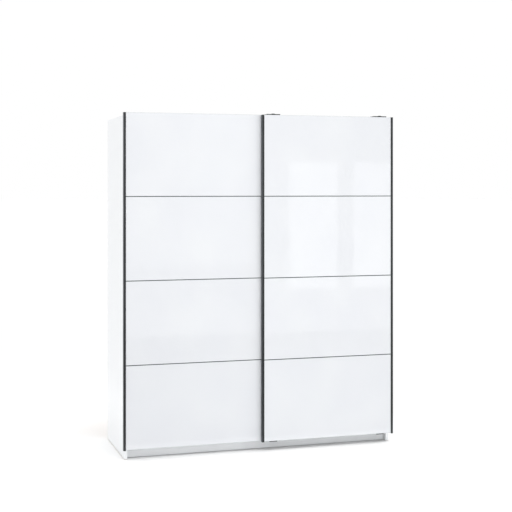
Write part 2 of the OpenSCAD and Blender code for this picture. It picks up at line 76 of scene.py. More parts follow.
# Values that nearly all of a cloud texture lies between.
CLOUD_RANGE = (0.3, 0.7)

log = logging.getLogger("wardrobe")


# ---------- finishes ----------


def srgb(code: str) -> tuple[float, float, float, float]:
    """Turns a hex colour into the linear colour that a shader takes.

    Args:
        code: colour such as "#F4F6FA".

    Returns:
        Linear red, green and blue, with an alpha of 1.
    """
    parts = [int(code[i : i + 2], 16) / 255 for i in (1, 3, 5)]
    low, high = [p / 12.92 for p in parts], [((p + 0.055) / 1.055) ** 2.4 for p in parts]
    red, green, blue = (a if p <= 0.04045 else b for p, a, b in zip(parts, low, high))
    return red, green, blue, 1.0


def add_node(
    tree: bpy.types.NodeTree,
    kind: str,
    inputs: dict[str | int, object] | None = None,
    **settings: object,
) -> bpy.types.Node:
    """Adds a node with its settings and links.

    Args:
        tree: node tree that gets the node.
        kind: type name of the node.
        inputs: values for its sockets. An output socket becomes a link.
        settings: properties of the node itself.

    Returns:
        The new node.
    """
    made = tree.nodes.new(kind)
    for name, value in settings.items():
        setattr(made, name, value)
    for name, value in (inputs or {}).items():
        socket = made.inputs[name]
        if isinstance(value, bpy.types.NodeSocket):
            tree.links.new(value, socket)
        else:
            socket.default_value = value
    return made


class Pattern(Enum):
    """Texture that a finish's grain is drawn with."""

    CLOUD = "cloud"
    FLAKE = "flake"


@dataclass(frozen=True)
class Finish:
    """Surface of one real material: tones, gloss and relief, each at a size in millimetres."""

    name: str
    slot: str
    tones: tuple[str, ...]
    roughness: tuple[float, float]
    grain_mm: tuple[float, float, float]
    relief_mm: float
    broad_mm: tuple[float, float, float] = (220.0, 220.0, 220.0)
    metallic: float = 0.0
    ior: float = 1.5
    pattern: Pattern = Pattern.CLOUD
    detail: float = 3.0
    spread: tuple[float, float] = CLOUD_RANGE

    def texture(
        self,
        tree: bpy.types.NodeTree,
        size_mm: tuple[float, float, float],
        pattern: Pattern,
    ) -> bpy.types.NodeSocket:
        """Draws one texture on the piece's own coordinates.

        Args:
            tree: node tree of the material.
            size_mm: size of one feature along X, Y and Z.
            pattern: texture to draw.

        Returns:
            Socket that carries the texture's value.
        """
        place = add_node(tree, "ShaderNodeTexCoord")
        scale = [1 / (s * MM) for s in size_mm]
        spot = add_node(
            tree,
            "ShaderNodeMapping",
            {"Vector": place.outputs["Object"], "Scale": scale},
        )
        if pattern is Pattern.FLAKE:
            cells = add_node(
                tree,
                "ShaderNodeTexVoronoi",
                {"Vector": spot.outputs["Vector"], "Scale": 1.0},
            )
            return add_node(
                tree,
                "ShaderNodeSeparateColor",
                {"Color": cells.outputs["Color"]},
            ).outputs["Red"]
        return add_node(
            tree,
            "ShaderNodeTexNoise",
            {"Vector": spot.outputs["Vector"], "Scale": 1.0, "Detail": self.detail},
        ).outputs["Fac"]

    def build(self) -> bpy.types.Material:
        """Makes the material.

        Returns:
            A material with tones from the grain, gloss from a broader cloud and relief from the grain.
        """
        made = bpy.data.materials.new(self.name)
        made.use_nodes = True
        tree = made.node_tree
        shader = tree.nodes["Principled BSDF"]
        shader.inputs["Metallic"].default_value = self.metallic
        if not self.metallic:
            shader.inputs["IOR"].default_value = self.ior
        grain = self.texture(tree, self.grain_mm, self.pattern)
        broad = self.texture(tree, self.broad_mm, Pattern.CLOUD)
        ramp = add_node(tree, "ShaderNodeValToRGB", {"Fac": grain})
        stops = ramp.color_ramp.elements
        for _ in self.tones[2:]:
            stops.new(0.5)
        for i, (stop, tone) in enumerate(zip(stops, self.tones)):
            share = i / (len(self.tones) - 1)
            stop.position = self.spread[0] + share * (self.spread[1] - self.spread[0])
            stop.color = srgb(tone)
        gloss = add_node(
            tree,
            "ShaderNodeMapRange",
            {
                "Value": broad,
                "From Min": CLOUD_RANGE[0],
                "From Max": CLOUD_RANGE[1],
                "To Min": self.roughness[0],
                "To Max": self.roughness[1],
            },
        )
        bump = add_node(
            tree,
            "ShaderNodeBump",
            {"Height": grain, "Strength": 1.0, "Distance": self.relief_mm * MM},
        )
        tree.links.new(ramp.outputs["Color"], shader.inputs["Base Color"])
        tree.links.new(gloss.outputs["Result"], shader.inputs["Roughness"])
        tree.links.new(bump.outputs["Normal"], shader.inputs["Normal"])
        return made


# Melamine-faced board, pressed against a finely pitted plate: a soft sheen with a faint pearl grain.
# The real pits are about 0.4 mm, too fine to show, so they are drawn 1.6 mm across.
MELAMINE = Finish(
    name="white_melamine_board",
    slot="white_melamine",
    tones=("#F2F4F6", "#F5F7F9"),
    roughness=(0.34, 0.44),
    grain_mm=(1.6, 1.6, 1.6),
    relief_mm=0.012,
)

# Extruded ABS edge band, glued on and scraped: a little glossier and cooler than the board's faces.
EDGE_BAND = Finish(
    name="white_abs_edge_band",
    slot="white_melamine",
    tones=("#EFF1F3", "#F3F5F7"),
    roughness=(0.28, 0.36),
    grain_mm=(0.8, 0.8, 60.0),
    relief_mm=0.006,
    ior=1.53,
)

# Raw chipboard where no band covers it: tan flakes with dark specks, dry and rough.
CHIPBOARD = Finish(
    name="raw_chipboard",
    slot="white_melamine",
    tones=("#7E5C38", "#B58F60", "#CDAD7E", "#DCC398"),
    roughness=(0.85, 0.95),
    grain_mm=(2.2, 2.2, 1.4),
    relief_mm=0.15,
    pattern=Pattern.FLAKE,
    spread=(0.0, 1.0),
)

# Hardboard back, roller-painted white on its smooth face.
PAINTED_HARDBOARD = Finish(
    name="painted_hardboard",
    slot="white_hardboard",
    tones=("#EBEDEE", "#F1F2F3"),
    roughness=(0.5, 0.6),
    grain_mm=(3.0, 3.0, 3.0),
    relief_mm=0.03,
)

# Unpainted rear of the hardboard: matted brown fibres with the weave of the press screen.
RAW_HARDBOARD = Finish(
    name="raw_hardboard",
    slot="white_hardboard",
    tones=("#6E4E33", "#86643F", "#97744C"),
    roughness=(0.75, 0.9),
    grain_mm=(3.0, 3.0, 1.2),
    relief_mm=0.12,
    detail=6.0,
)

# Float glass lacquered white on its back: a deep cool white under a mirror-smooth face that is
# never quite flat, so what it reflects swims a little.
LACQUERED_GLASS = Finish(
    name="white_lacquered_glass",
    slot="lacquered_glass",
    tones=("#E2E4E8", "#E5E7EA"),
    roughness=(0.02, 0.05),
    grain_mm=(260.0, 260.0, 340.0),
    relief_mm=0.12,
    ior=1.52,
    detail=1.0,
)

# Ground and seamed edge of the glass: a pale green-grey, matt line.
GROUND_GLASS = Finish(
    name="ground_glass_edge",
    slot="lacquered_glass",
    tones=("#9DADA8", "#B7C4BF"),
    roughness=(0.35, 0.5),
    grain_mm=(1.0, 1.0, 8.0),
    relief_mm=0.01,
    ior=1.52,
)

# Anthracite anodised extrusion: satin metal with die lines along its length.
# Real die lines are about 0.1 mm apart, and are drawn 0.7 mm apart so that they show.
ANTHRACITE = Finish(
    name="anthracite_anodised_aluminium",
    slot="anthracite_aluminium",
    tones=("#4C5053", "#54585B"),
    roughness=(0.3, 0.38),
    grain_mm=(0.7, 0.7, 420.0),
    relief_mm=0.006,
    metallic=1.0,
)

# Painted shade for the finger groove: near-black, dull, drawn out along Z. It lies on the front faces of
# the shallow groove and stands in for the shadow inside a deep grip groove.
GROOVE_SHADE_PAINT = Finish(
    name="black_painted_groove_shade",
    slot="anthracite_aluminium",
    tones=("#1B1D1E", "#232526"),
    roughness=(0.6, 0.72),
    grain_mm=(0.8, 0.8, 40.0),
    relief_mm=0.015,
    ior=1.5,
)

# Natural anodised extrusion that lies along X: light satin metal with die lines along its length.
NATURAL_ALUMINIUM = Finish(
    name="natural_anodised_aluminium",
    slot="mill_aluminium",
    tones=("#B2B4B6", "#C0C2C4"),
    roughness=(0.28, 0.4),
    grain_mm=(420.0, 0.7, 0.7),
    relief_mm=0.006,
    metallic=1.0,
)

# Black powder coat over sheet steel: dark with a fine orange-peel skin.
POWDER_COAT = Finish(
    name="black_powder_coated_steel",
    slot="black_steel",
    tones=("#1D1F21", "#26282A"),
    roughness=(0.4, 0.52),
    grain_mm=(1.5, 1.5, 1.5),
    relief_mm=0.03,
    ior=1.5,
)

# Zinc-plated steel: bright grey metal, clouded by the passivation.
ZINC = Finish(
    name="zinc_plated_steel",
    slot="zinc_steel",
    tones=("#9C9EA1", "#A9ABAF", "#B3B5B7"),
    roughness=(0.25, 0.42),
    grain_mm=(3.0, 3.0, 3.0),
    relief_mm=0.004,
    broad_mm=(9.0, 9.0, 9.0),
    metallic=1.0,
)

# Chromed steel tube, polished: a mirror with faint wiping marks along it.
CHROME = Finish(
    name="chromed_steel_tube",
    slot="chromed_tube",
    tones=("#D2D4D6", "#D8DADC"),
    roughness=(0.05, 0.12),
    grain_mm=(60.0, 2.0, 2.0),
    relief_mm=0.002,
    metallic=1.0,
)

# Moulded glass-filled nylon: near-black, satin, with a finely eroded skin.
NYLON = Finish(
    name="black_moulded_nylon",
    slot="black_plastic",
    tones=("#1C1D1E", "#252627"),
    roughness=(0.42, 0.55),
    grain_mm=(0.9, 0.9, 0.9),
    relief_mm=0.012,
    ior=1.53,
)

# Moulded rubber: dull black with a slight bloom.
RUBBER = Finish(
    name="black_moulded_rubber",
    slot="black_plastic",
    tones=("#161616", "#222222"),
    roughness=(0.72, 0.85),
    grain_mm=(2.0, 2.0, 2.0),
    relief_mm=0.02,
    ior=1.52,
)

# Moulded white polypropylene of the floor glides: waxy and slightly soft in tone.
GLIDE_PLASTIC = Finish(
    name="white_moulded_polypropylene",
    slot="white_plastic",
    tones=("#E4E5E5", "#ECEDED"),
    roughness=(0.35, 0.48),
    grain_mm=(1.2, 1.2, 1.2),
    relief_mm=0.01,
    ior=1.49,
)

FINISHES = (
    MELAMINE,
    EDGE_BAND,
    CHIPBOARD,
    PAINTED_HARDBOARD,
    RAW_HARDBOARD,
    LACQUERED_GLASS,
    GROUND_GLASS,
    ANTHRACITE,
    GROOVE_SHADE_PAINT,
    NATURAL_ALUMINIUM,
    POWDER_COAT,
    ZINC,
    CHROME,
    NYLON,
    RUBBER,
    GLIDE_PLASTIC,
)


# ---------- modelling ----------


def clear_selection() -> None:
    """Deselects every object."""
    bpy.ops.object.select_all(action="DESELECT")


def activate(piece: bpy.types.Object) -> None:
    """Selects one piece alone and makes it the active one.

    Args:
        piece: object to select.
    """
    clear_selection()
    piece.select_set(True)
    bpy.context.view_layer.objects.active = piece


@contextmanager
def editing(piece: bpy.types.Object) -> Iterator[bpy.types.Object]:
    """Opens a piece in edit mode and closes it again.

    Args:
        piece: object to edit.

    Yields:
        The same object.
    """
    activate(piece)
    bpy.ops.object.mode_set(mode="EDIT")
    yield piece
    bpy.ops.object.mode_set(mode="OBJECT")


def pick_faces(
    piece: bpy.types.Object, wanted: Callable[[Vector, Vector], bool]
) -> None:
    """Selects faces of a piece that is open in edit mode.

    Args:
        piece: object in edit mode.
        wanted: test on a face's centre and normal.
    """
    bpy.ops.mesh.select_mode(type="FACE")
    bpy.ops.mesh.select_all(action="DESELECT")
    mesh = bmesh.from_edit_mesh(piece.data)
    for face in mesh.faces:
        face.select_set(wanted(face.calc_center_median(), face.normal))
    bmesh.update_edit_mesh(piece.data)


def pick_points(piece: bpy.types.Object, wanted: Callable[[Vector], bool]) -> None:
    """Selects vertices of a piece that is open in edit mode.

    Args:
        piece: object in edit mode.
        wanted: test on a vertex's place.
    """
    bpy.ops.mesh.select_mode(type="VERT")
    bpy.ops.mesh.select_all(action="DESELECT")
    mesh = bmesh.from_edit_mesh(piece.data)
    for point in mesh.verts:
        point.select_set(wanted(point.co))
    mesh.select_flush(True)
    bmesh.update_edit_mesh(piece.data)


def cut(spot: Sequence[float], across: Sequence[float]) -> None:
    """Cuts the piece in edit mode along a plane.

    Args:
        spot: point of the plane.
        across: normal of the plane.
    """
    bpy.ops.mesh.select_all(action="SELECT")
    bpy.ops.mesh.bisect(plane_co=spot, plane_no=across)


def pull(move: Sequence[float]) -> None:
    """Extrudes the selected faces of the piece in edit mode.

    Args:
        move: how far the faces move.
    """
    bpy.ops.mesh.extrude_region_move(TRANSFORM_OT_translate={"value": move})


def add_block(name: str, low: Sequence[float], high: Sequence[float]) -> bpy.types.Object:
    """Adds a block between two corners.

    Args:
        name: name of the piece.
        low: lowest corner.
        high: highest corner.

    Returns:
        The block, with its place in its mesh.
    """
    clear_selection()
    a, b = Vector(low), Vector(high)
    bpy.ops.mesh.primitive_cube_add(size=1, location=(a + b) / 2, scale=b - a)
    block = bpy.context.object
    block.name = block.data.name = name
    bpy.ops.object.transform_apply(location=True, rotation=True, scale=True)
    return block


def merged_copy(node: str, name: str) -> bpy.types.Object:
    """Copies a frame node as one closed mesh with clean flat faces.

    Args:
        node: frame node to copy.
        name: name of the piece.

    Returns:
        The copy, which rides on nothing yet.
    """
    source = bpy.data.objects[node]
    copy = source.copy()
    copy.data = source.data.copy()
    copy.parent = None
    copy.name = copy.data.name = name
    for key in [k for k in copy.keys() if k.startswith("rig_")]:
        del copy[key]
    copy.data.materials.clear()
    bpy.context.scene.collection.objects.link(copy)
    activate(copy)
    bpy.ops.mesh.customdata_custom_splitnormals_clear()
    with editing(copy):
        bpy.ops.mesh.select_all(action="SELECT")
        bpy.ops.mesh.remove_doubles(threshold=MERGE)
        bpy.ops.mesh.dissolve_limited(angle_limit=math.radians(FLAT_DEG))
    return copy


def ease_edges(
    piece: bpy.types.Object, width_mm: float, segments: int = 2, finish_at: int = -1
) -> None:
    """Rounds the sharp edges of a piece and shades it smooth.

    Args:
        piece: object to finish.
        width_mm: width of the rounding.
        segments: faces across the rounding.
        finish_at: place of the rounding's own finish in the piece's list, or -1 to follow its neighbours.
    """
    activate(piece)
    bpy.ops.object.shade_smooth()
    bpy.ops.object.modifier_add(type="BEVEL")
    rounding = piece.modifiers[-1]
    rounding.width = width_mm * MM
    rounding.segments = segments
    rounding.limit_method = "ANGLE"
    rounding.angle_limit = math.radians(SHARP_DEG)
    rounding.use_clamp_overlap = False
    rounding.harden_normals = True
    rounding.material = finish_at
    bpy.ops.object.modifier_apply(modifier=rounding.name)


class Side(Enum):
    """Direction that a face looks in, as its axis and its sign."""

    FRONT = (1, -1)
    BOTTOM = (2, -1)
    TOP = (2, 1)


@dataclass
class Workshop:
    """Materials of the wardrobe, and the last steps that every piece goes through."""

    materials: dict[str, bpy.types.Material] = field(default_factory=dict)

    def mix_finishes(self) -> None:
        """Makes every material once."""
        for finish in FINISHES:
            self.materials[finish.name] = finish.build()
            log.info("finish %s", finish.name)

    def coat(
        self,
        piece: bpy.types.Object,
        main: Finish,
        parts: Sequence[tuple[Finish, Callable[[Vector, Vector], bool]]] = (),
    ) -> None:
        """Gives a piece its finishes, face by face.

        Args:
            piece: object to dress.
            main: finish of all faces that no other finish takes.
            parts: finishes with a test on a face's centre and normal. A later one wins.
        """
        piece.data.materials.clear()
        piece.data.materials.append(self.materials[main.name])
        for finish, _ in parts:
            piece.data.materials.append(self.materials[finish.name])
        for face in piece.data.polygons:
            face.material_index = 0
            for i, (_, wanted) in enumerate(parts, 1):
                if wanted(face.center, face.normal):
                    face.material_index = i

    def fit(
        self, piece: bpy.types.Object, body: str, finish: Finish, *nodes: str
    ) -> bpy.types.Object:
        """Puts a finished piece in the frame in place of its nodes.

        Args:
            piece: finished object.
            body: frame body that it rides on.
            finish: not used.
            nodes: frame nodes that it stands for.

        Returns:
            The same object.
        """
        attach(piece, body)
        if nodes:
            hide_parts(*nodes)
        log.info("piece %s on %s", piece.name, body)
        return piece

    def copy_node(
        self, node: str, name: str, body: str, finish: Finish, round_mm: float
    ) -> bpy.types.Object:
        """Makes a piece that keeps a node's shape and gets eased edges and a finish.

        Args:
            node: frame node to follow.
            name: name of the piece.
            body: frame body that it rides on.
            finish: finish all over.
            round_mm: width of its edge rounding.

        Returns:
            The piece.
        """
        piece = merged_copy(node, name)
        self.coat(piece, finish)
        ease_edges(piece, round_mm)
        return self.fit(piece, body, finish, node)

    def dress_node(self, node: str, finish: Finish) -> None:
        """Gives a node that stays as it is a finish.

        Args:
            node: frame node.
            finish: finish all over.
        """
        shown = bpy.data.objects[node]
        shown.data.materials.clear()
        shown.data.materials.append(self.materials[finish.name])
        log.info("node %s in %s", node, finish.name)


# ---------- carcass ----------


@dataclass
class Board:
    """Melamine-faced chipboard with edge bands on its visible edges."""

    node: str
    faces: int
    banded: tuple[Side, ...]
    body: str = "carcass"
    band_mm: float = 1.0
    round_mm: float = 0.6

    def build(self, shop: Workshop) -> bpy.types.Object:
        """Makes the board with its bores, bands and raw edges.

        Args:
            shop: workshop that dresses it.

        Returns:
            The board.
        """
        band = self.band_mm * MM
        piece = merged_copy(self.node, self.node + "_board")
        low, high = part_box(self.node)
        edges = []
        with editing(piece):
            for side in self.banded:
                axis, sign = side.value
                edges.append((axis, high[axis] if sign > 0 else low[axis]))
                spot = list(low)
                spot[axis] = edges[-1][1] - sign * band
                cut(spot, [1.0 if i == axis else 0.0 for i in range(3)])

        def on_face(spot: Vector, normal: Vector) -> bool:
            """Tells whether a face belongs to one of the board's two faces."""
            flat = abs(normal[self.faces]) > SQUARE
            outer = (
                min(
                    abs(spot[self.faces] - low[self.faces]),
                    abs(spot[self.faces] - high[self.faces]),
                )
                < ON_PLANE
            )
            return flat and outer

        def on_band(spot: Vector, normal: Vector) -> bool:
            """Tells whether a face belongs to an edge band."""
            return any(abs(spot[axis] - edge) < band for axis, edge in edges)

        shop.coat(piece, CHIPBOARD, [(MELAMINE, on_face), (EDGE_BAND, on_band)])
        ease_edges(piece, self.round_mm)
        return shop.fit(piece, self.body, MELAMINE, self.node)


@dataclass
class Carcass:
    """Fixed case: sides, partition, top, bottom, plinths, backs and what they stand on."""

    shop: Workshop
    body: str = "carcass"
    back_round_mm: float = 0.3

    def build_boards(self) -> None:
        """Makes the sides, the partition, the top, the bottom and the plinths."""
        upright = (Side.FRONT, Side.TOP)
        Board("left_side_panel", 0, upright).build(self.shop)
        Board("right_side_panel", 0, upright).build(self.shop)
        Board("centre_partition", 0, (Side.FRONT,)).build(self.shop)
        for node in ("top_panel", "bottom_panel"):
            Board(node, 2, (Side.FRONT,)).build(self.shop)
        for node in ("front_plinth", "rear_plinth"):
            Board(node, 1, (Side.BOTTOM,)).build(self.shop)

    def build_backs(self) -> None:
        """Makes the hardboard backs: painted inside, raw behind."""
        for node in ("left_back_panel", "right_back_panel"):
            piece = merged_copy(node, node + "_sheet")
            self.shop.coat(
                piece,
                RAW_HARDBOARD,
                [(PAINTED_HARDBOARD, lambda spot, normal: normal.y < -FACING)],
            )
            ease_edges(piece, self.back_round_mm)
            self.shop.fit(piece, self.body, PAINTED_HARDBOARD, node)

    def build_fittings(self) -> None:
        """Makes the glides, the wall brackets and the cam fittings."""
        shop = self.shop
        shop.copy_node("floor_glides", "glide_feet", self.body, GLIDE_PLASTIC, round_mm=0.5)
        shop.copy_node("wall_brackets", "wall_angles", self.body, ZINC, round_mm=0.5)
        shop.dress_node("cam_fittings", ZINC)

    def build(self) -> None:
        """Makes the whole case."""
        self.build_boards()
        self.build_backs()
        self.build_fittings()


@dataclass
class Interior:
    """Shelves and the clothes rail."""

    shop: Workshop
    body: str = "carcass"

    def build_shelves(self) -> None:
        """Makes the hat shelves and the loose shelves, banded on their front edge."""
        for node in (
            "left_hat_shelf",
            "right_hat_shelf",
            "right_shelf_1",
            "right_shelf_2",
            "right_shelf_3",
        ):
            Board(node, 2, (Side.FRONT,)).build(self.shop)
        self.shop.dress_node("shelf_pins", ZINC)

    def build_rail(self) -> None:
        """Makes the oval clothes rail and its two cups."""
        self.shop.copy_node("clothes_rail", "oval_clothes_rail", self.body, CHROME, round_mm=0.3)
        self.shop.copy_node("rail_sockets", "rail_cups", self.body, ZINC, round_mm=0.4)

    def build(self) -> None:
        """Makes everything inside the case."""
        self.build_shelves()
        self.build_rail()


# ---------- running gear ----------


@dataclass
class Screws:
    """Screws that stand where a node's screws are, with a tapered round recess in the head.

    head_mm and shank_mm are radii. The rim and the core are shares of the head's radius, and the taper is
    the width of the recess's floor over that of its mouth.
    """

    shop: Workshop
    node: str
    body: str
    head_mm: float = 3.8
    head_high_mm: float = 2.0
    shank_mm: float = 1.75
    recess_mm: float = 1.3
    rim_share: float = 0.45
    core_share: float = 0.3
    taper: float = 0.4
    round_mm: float = 0.3
    sides: int = 24

    def places(self) -> list[tuple[Vector, Vector]]:
        """Finds the screws of the node.

        Returns:
            Centre of the outer face of each head, and the way from there to the screw's middle.
        """
        loose = merged_copy(self.node, self.node + "_loose")
        with editing(loose):
            bpy.ops.mesh.select_all(action="SELECT")
            bpy.ops.mesh.separate(type="LOOSE")
        found = []
        for part in list(bpy.context.selected_objects):
            points = [point.co for point in part.data.vertices]
            low = Vector([min(p[i] for p in points) for i in range(3)])
            high = Vector([max(p[i] for p in points) for i in range(3)])
            head = self.head_centre(points, low, high)
            found.append((head, (low + high) / 2 - head))
            bpy.data.objects.remove(part)
        return found

    def head_centre(
        self, points: Sequence[Vector], low: Vector, high: Vector
    ) -> Vector:
        """Finds the middle of a screw's head, at the end where its points lie furthest out.

        Args:
            points: vertices of the screw.
            low: lowest corner.
            high: highest corner.

        Returns:
            Centre of the outer face of the head.
        """
        axis = max(range(3), key=lambda i: high[i] - low[i])
        middle = (low + high) / 2
        others = [i for i in range(3) if i != axis]

        def reach(edge: float) -> float:
            """Gives the widest radius of the points at one end."""
            return max(
                math.hypot(*(p[i] - middle[i] for i in others))
                for p in points
                if abs(p[axis] - edge) < ON_PLANE
            )

        end = middle.copy()
        end[axis] = low[axis] if reach(low[axis]) > reach(high[axis]) else high[axis]
        return end

    def build(self) -> bpy.types.Object:
        """Makes one screw, copies it to every place and joins the copies.

        Returns:
            The screws as one piece.
        """
        spots = self.places()
        length = 2 * spots[0][1].length
        master = self.shape(length)
        made = []
        for head, into in spots:
            screw = master.copy()
            screw.data = master.data.copy()
            bpy.context.scene.collection.objects.link(screw)
            turn = Vector((0, 0, -1)).rotation_difference(into.normalized())
            screw.data.transform(Matrix.Translation(head) @ turn.to_matrix().to_4x4())
            made.append(screw)
        bpy.data.objects.remove(master)
        clear_selection()
        for screw in made:
            screw.select_set(True)
        bpy.context.view_layer.objects.active = made[0]
        bpy.ops.object.join()
        piece = bpy.context.object
        piece.name = piece.data.name = self.node + "_cross_head"
        self.shop.coat(piece, ZINC)
        return self.shop.fit(piece, self.body, ZINC, self.node)

    def shape(self, length: float) -> bpy.types.Object:
        """Models a screw that points down from the origin.

        Args:
            length: length with its head.

        Returns:
            The screw.
        """
        head_r, shank_r = self.head_mm * MM, self.shank_mm * MM
        head_h, deep = self.head_high_mm * MM, self.recess_mm * MM
        clear_selection()
        bpy.ops.mesh.primitive_cylinder_add(
            vertices=self.sides,
            radius=head_r,
            depth=head_h,
            location=(0, 0, -head_h / 2),
        )
        screw = bpy.context.object
        bpy.ops.object.transform_apply(location=True, rotation=True, scale=True)
        with editing(screw):
            pick_faces(screw, lambda spot, normal: normal.z < -FACING)
            bpy.ops.mesh.inset(thickness=head_r - shank_r, depth=0)
            pull((0, 0, head_h - length))
            pick_faces(screw, lambda spot, normal: normal.z > FACING)
            bpy.ops.mesh.inset(thickness=head_r * self.rim_share, depth=0)
            pick_faces(
                screw,
                lambda spot, normal: normal.z > FACING
                and spot.xy.length < head_r * self.core_share,
            )
            pull((0, 0, -deep))
            bpy.ops.transform.resize(
                value=(self.taper, self.taper, 1), center_override=(0, 0, 0)
            )
        ease_edges(screw, self.round_mm, 1)
        return screw


@dataclass
class RunningGear:
    """Top track, guide rail, their screws and the end buffers."""

    shop: Workshop
    body: str = "carcass"

    def build(self) -> None:
        """Makes the fixed part of the running gear."""
        shop = self.shop
        shop.copy_node("top_track", "double_top_track", self.body, NATURAL_ALUMINIUM, round_mm=0.3)
        shop.copy_node(
            "bottom_guide_rail", "double_guide_rail", self.body, NATURAL_ALUMINIUM, round_mm=0.3
        )
        shop.copy_node("end_buffers", "rubber_end_buffers", self.body, RUBBER, round_mm=0.8)
        Screws(shop, "rail_screws", self.body).build()


# ---------- doors ----------


@dataclass
class HandleProfile:
    """Extruded handle profile with a finger groove, a wall beside the door and a tongue."""

    node: str
    outer: int
    wall_mm: float = 2.0
    proud_mm: float = 3.0
    groove_r_mm: float = 14.0
    groove_deep_mm: float = 0.75
    groove_from_inner_mm: float = 5.7
    groove_steps: int = 8
    tongue_mm: tuple[float, float] = (8.0, 1.6)
    tongue_from_back_mm: float = 7.2
    groove_facing: float = 0.5
    round_mm: float = 0.45

    def groove_depth(self, offset: float) -> float:
        """Gives the depth of the round groove at an offset from its middle."""
        r = self.groove_r_mm * MM
        return math.sqrt(r * r - offset * offset) - r + self.groove_deep_mm * MM

    def build(self, shop: Workshop, body: str) -> bpy.types.Object:
        """Makes the profile from a flat bar.

        Args:
            shop: workshop that dresses it.
            body: door that it rides on.

        Returns:
            The profile.
        """
        low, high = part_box(self.node)
        face_back = low.y + self.proud_mm * MM
        edge = low.x if self.outer < 0 else high.x
        inner = edge - self.outer * self.wall_mm * MM
        inner_edge = high.x if self.outer < 0 else low.x
        middle = inner_edge + self.outer * self.groove_from_inner_mm * MM
        r, deep = self.groove_r_mm * MM, self.groove_deep_mm * MM
        half = math.sqrt(r * r - (r - deep) ** 2)
        piece = add_block(self.node + "_profile", low, (high.x, face_back, high.z))
        with editing(piece):
            cut((inner, 0, 0), (1, 0, 0))
            pick_faces(
                piece,
                lambda spot, normal: normal.y > FACING
                and (spot.x - inner) * self.outer > 0,
            )
            pull((0, high.y - face_back, 0))
            tongue_low = high.y - (self.tongue_from_back_mm + self.tongue_mm[1]) * MM
            tongue_high = tongue_low + self.tongue_mm[1] * MM
            for y in (tongue_low, tongue_high):
                cut((0, y, 0), (0, 1, 0))
            pick_faces(
                piece,
                lambda spot, normal: abs(spot.x - inner) < ON_PLANE
                and tongue_low < spot.y < tongue_high
                and abs(normal.x) > FACING,
            )
            pull((-self.outer * self.tongue_mm[0] * MM, 0, 0))
            steps = [
                -half + 2 * half * i / self.groove_steps
                for i in range(self.groove_steps + 1)
            ]
            for step in steps:
                cut((middle + step, 0, 0), (1, 0, 0))
            for step in steps[1:-1]:
                pick_points(
                    piece,
                    lambda spot, x=middle + step: abs(spot.x - x) < ON_PLANE
                    and abs(spot.y - low.y) < ON_PLANE,
                )
                bpy.ops.transform.translate(value=(0, self.groove_depth(step), 0))
        # The groove's front faces are painted near-black: painted shade that stands in for the shadow in a
        # deep finger groove.
        shop.coat(
            piece,
            ANTHRACITE,
            [
                (
                    GROOVE_SHADE_PAINT,
                    lambda spot, normal: normal.y < -self.groove_facing
                    and abs(spot.x - middle) < half
                    and spot.y < face_back,
                )
            ],
        )
        ease_edges(piece, self.round_mm)
        return shop.fit(piece, body, ANTHRACITE, self.node)


@dataclass
class Door:
    """Sliding door: board, four glass fields, trims, handle profiles and running gear."""

    shop: Workshop
    name: str
    fields: int = 4
    wheels: int = 4
    glass_round_mm: float = 1.0
    glass_round_steps: int = 3

    def build_board(self) -> None:
        """Makes the backing board with its pockets."""
        Board(
            f"{self.name}_board", 1, (Side.TOP, Side.BOTTOM), body=self.name
        ).build(self.shop)

    def build_glass(self) -> None:
        """Makes the four glass fields with ground edges."""
        for i in range(1, self.fields + 1):
            node = f"{self.name}_glass_{i}"
            low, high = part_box(node)
            piece = add_block(f"{self.name}_field_{i}", low, high)
            self.shop.coat(
                piece,
                GROUND_GLASS,
                [(LACQUERED_GLASS, lambda spot, normal: normal.y < -FACING)],
            )
            ease_edges(piece, self.glass_round_mm, self.glass_round_steps, finish_at=0)
            self.shop.fit(piece, self.name, LACQUERED_GLASS, node)

    def build_profiles(self) -> None:
        """Makes the trims and the two handle profiles."""
        trims = f"{self.name}_trims"
        self.shop.copy_node(trims, f"{trims}_profiles", self.name, ANTHRACITE, round_mm=0.25)
        for side, outer in (("left", -1), ("right", 1)):
            HandleProfile(f"{self.name}_{side}_handle", outer).build(
                self.shop, self.name
            )

    def build_gear(self) -> None:
        """Makes the hangers, guides, pins, screws and wheels."""
        shop, name = self.shop, self.name
        for side in ("left", "right"):
            node = f"{name}_{side}_hanger"
            shop.copy_node(node, f"{node}_plate", name, POWDER_COAT, round_mm=0.7)
        arms, shoes = f"{name}_guide_arms", f"{name}_guide_shoes"
        shop.copy_node(arms, f"{arms}_plates", name, POWDER_COAT, round_mm=0.7)
        shop.copy_node(shoes, f"{shoes}_moulded", name, NYLON, round_mm=0.5)
        shop.dress_node(f"{name}_axle_pins", ZINC)
        Screws(shop, f"{name}_screws", name).build()
        for i in range(1, self.wheels + 1):
            shop.dress_node(f"{name}_wheel_{i}", NYLON)

    def build(self) -> None:
        """Makes the whole door."""
        self.build_board()
        self.build_glass()
        self.build_profiles()
        self.build_gear()


# ---------- studio ----------


@dataclass(frozen=True)
class GlossCard:
    """Upright plain card that shows only in glossy reflections."""

    name: str
    x: tuple[float, float]
    z: tuple[float, float]
    glow: float


GLOSS_CARDS = (
    GlossCard("backdrop_card", (-1.5, 5.5), (-0.05, 4.5), 1.0),
    GlossCard("broad_left_card", (-0.5, 1.7), (0.8, 4.2), 1.5),
    GlossCard("tall_soft_box_1", (2.1, 2.7), (0.5, 2.0), 2.2),
    GlossCard("tall_soft_box_2", (2.9, 3.4), (0.5, 2.0), 2.2),
)


@dataclass(frozen=True)
class SoftBox:
    """Area lamp that is itself unseen: its place, the point that it faces, its size and its watts."""

    place: tuple[float, float, float]
    aim: tuple[float, float, float]
    size: tuple[float, float]
    power: float
    floor_only: bool = False


